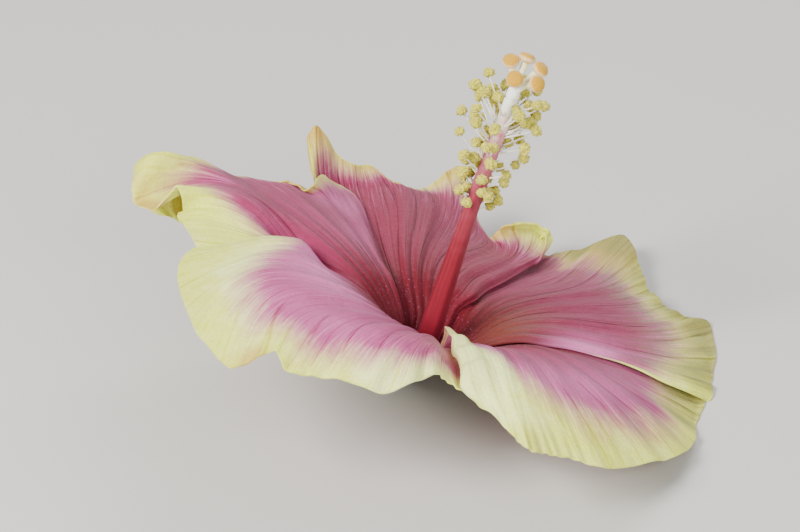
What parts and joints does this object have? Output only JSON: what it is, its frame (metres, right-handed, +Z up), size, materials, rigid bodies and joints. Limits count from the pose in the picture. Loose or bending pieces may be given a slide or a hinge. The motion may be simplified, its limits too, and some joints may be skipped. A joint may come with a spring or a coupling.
{
  "type": "hibiscus flower",
  "caption": "Open hibiscus bloom cut with a short stem and laid on a surface, its petals overlapping round a long column.",
  "frame": {"origin": "middle of the bloom's outline, on the surface that it lies on", "axes": "+Z up off the surface, -Y towards the side that the bloom is seen from, +X to that view's right"},
  "size_m": [0.1504, 0.1426, 0.0902],
  "materials": {
    "petal": "soft, finely veined",
    "column": "satin",
    "pistil": "velvety",
    "sepal": "matte, ribbed",
    "stem": "matte"
  },
  "bodies": {
    "root": {"petal_back": "petal", "petal_left": "petal", "petal_front_left": "petal", "petal_front_right": "petal", "petal_right": "petal", "staminal_column": "column", "pistil": "pistil", "calyx": "sepal", "epicalyx": "sepal", "stem": "stem"}
  },
  "joints": []
}
